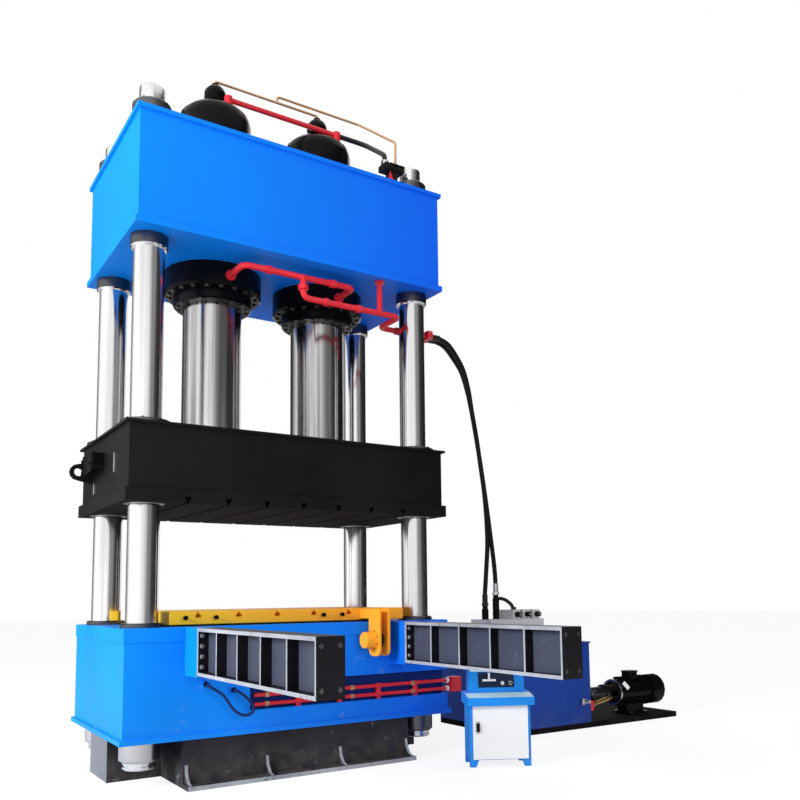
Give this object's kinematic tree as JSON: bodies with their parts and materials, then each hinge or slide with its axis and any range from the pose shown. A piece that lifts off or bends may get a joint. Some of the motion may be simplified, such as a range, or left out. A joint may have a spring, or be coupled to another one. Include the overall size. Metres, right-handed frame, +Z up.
{
  "type": "hydraulic press",
  "caption": "Four-column hydraulic press with twin main cylinders, a bolster that rolls out on front rails, an operator console and a power unit joined by hoses.",
  "frame": {"origin": "on the floor, at the middle of the press's four columns", "axes": "+X to the right along the press's front, towards the power unit; +Y from the front to the back; +Z up"},
  "size_m": [7.875, 4.7653, 7.616],
  "materials": {
    "frame_blue": "satin enamel",
    "machine_black": "satin enamel",
    "ground_steel": "ground and hard chromed",
    "dark_steel": "blackened",
    "bolster_yellow": "satin enamel",
    "pipe_red": "gloss enamel",
    "pipe_brass": "dull",
    "rail_grey": "satin enamel",
    "console_white": "satin enamel",
    "panel_blue": "satin enamel",
    "hose_rubber": "matt",
    "cable_blue": "matt",
    "casting_grey": "as cast"
  },
  "bodies": {
    "frame": {"base_frame": "machine_black", "bed_beam": "frame_blue", "rail_stub_left": "frame_blue", "rail_stub_right": "frame_blue", "bed_pipes": "pipe_red", "cable_loop": "cable_blue", "column_front_left": "ground_steel", "column_front_right": "ground_steel", "column_rear_left": "ground_steel", "column_rear_right": "ground_steel", "upper_nut_front_left": "dark_steel", "upper_nut_front_right": "dark_steel", "upper_nut_rear_left": "dark_steel", "upper_nut_rear_right": "dark_steel", "lower_nut_front_left": "ground_steel", "lower_nut_front_right": "ground_steel", "lower_nut_rear_left": "ground_steel", "lower_nut_rear_right": "ground_steel", "crown_beam": "frame_blue", "main_cylinder_left": "machine_black", "main_cylinder_right": "machine_black", "prefill_valve_left": "machine_black", "prefill_valve_right": "machine_black", "pressure_pipe": "pipe_red", "return_pipe": "pipe_red", "pilot_pipe": "pipe_brass", "hose_a": "hose_rubber", "hose_b": "hose_rubber", "rail_left": "rail_grey", "rail_right": "rail_grey", "console_cabinet": "panel_blue", "console_desk": "panel_blue", "power_unit_skid": "machine_black", "oil_tank": "frame_blue", "valve_block": "casting_grey", "valve_stack": "machine_black", "motor_housing": "machine_black", "coupling_housing": "casting_grey", "pump": "dark_steel"},
    "slide": {"slide_beam": "machine_black", "guide_bush_front_left": "dark_steel", "guide_bush_front_right": "dark_steel", "guide_bush_rear_left": "dark_steel", "guide_bush_rear_right": "dark_steel", "plunger_left": "ground_steel", "plunger_right": "ground_steel", "slide_switch_box": "machine_black"},
    "bolster": {"bolster_plate": "bolster_yellow", "drive_bracket": "bolster_yellow", "drive_motor": "bolster_yellow"},
    "wheel_front_left": {"bolster_wheel_front_left": "ground_steel"},
    "wheel_front_right": {"bolster_wheel_front_right": "ground_steel"},
    "wheel_rear_left": {"bolster_wheel_rear_left": "ground_steel"},
    "wheel_rear_right": {"bolster_wheel_rear_right": "ground_steel"},
    "rotor": {"motor_rotor": "dark_steel"},
    "door": {"console_door": "console_white"},
    "latch": {"door_latch": "machine_black"},
    "start": {"start_button": "console_white"},
    "stop": {"stop_button": "dark_steel"},
    "selector": {"selector_switch": "console_white"}
  },
  "joints": [
    {"name": "ram_stroke", "type": "slide", "parent": "frame", "child": "slide", "axis": [0, 0, 1], "range_m": [-0.8, 0.7]},
    {"name": "bolster_travel", "type": "slide", "parent": "frame", "child": "bolster", "axis": [0, -1, 0], "range_m": [0, 2.4]},
    {"name": "wheel_front_left_roll", "type": "hinge", "parent": "bolster", "child": "wheel_front_left", "pos_m": [-1.1, -0.55, 1.5093], "axis": [1, 0, 0], "continuous": true},
    {"name": "wheel_front_right_roll", "type": "hinge", "parent": "bolster", "child": "wheel_front_right", "pos_m": [1.1, -0.55, 1.5093], "axis": [1, 0, 0], "continuous": true},
    {"name": "wheel_rear_left_roll", "type": "hinge", "parent": "bolster", "child": "wheel_rear_left", "pos_m": [-1.1, 0.55, 1.5093], "axis": [1, 0, 0], "continuous": true},
    {"name": "wheel_rear_right_roll", "type": "hinge", "parent": "bolster", "child": "wheel_rear_right", "pos_m": [1.1, 0.55, 1.5093], "axis": [1, 0, 0], "continuous": true},
    {"name": "motor_spin", "type": "hinge", "parent": "frame", "child": "rotor", "pos_m": [5, -0.4, 0.37], "axis": [1, 0, 0], "continuous": true},
    {"name": "door_swing", "type": "hinge", "parent": "frame", "child": "door", "pos_m": [1.95305, -2.07977, 0.078], "axis": [0, 0, 1], "range_deg": [0, 110]},
    {"name": "latch_turn", "type": "hinge", "parent": "door", "child": "latch", "pos_m": [1.49838, -1.84855, 0.3924], "axis": [-0.4695, -0.8829, 0], "range_deg": [0, 90]},
    {"name": "start_press", "type": "slide", "parent": "frame", "child": "start", "axis": [0.4592, 0.8637, -0.2079], "range_m": [0, 0.006], "stiffness_N_per_m": 600},
    {"name": "stop_press", "type": "slide", "parent": "frame", "child": "stop", "axis": [0.4592, 0.8637, -0.2079], "range_m": [0, 0.006], "stiffness_N_per_m": 600},
    {"name": "selector_turn", "type": "hinge", "parent": "frame", "child": "selector", "pos_m": [1.72794, -1.74697, 0.83655], "axis": [-0.4592, -0.8637, 0.2079], "range_deg": [-45, 45]}
  ],
  "couplings": [
    {"joint": "wheel_front_left_roll", "follows": "bolster_travel", "rad_per_m": 16.667},
    {"joint": "wheel_front_right_roll", "follows": "bolster_travel", "rad_per_m": 16.667},
    {"joint": "wheel_rear_left_roll", "follows": "bolster_travel", "rad_per_m": 16.667},
    {"joint": "wheel_rear_right_roll", "follows": "bolster_travel", "rad_per_m": 16.667}
  ]
}
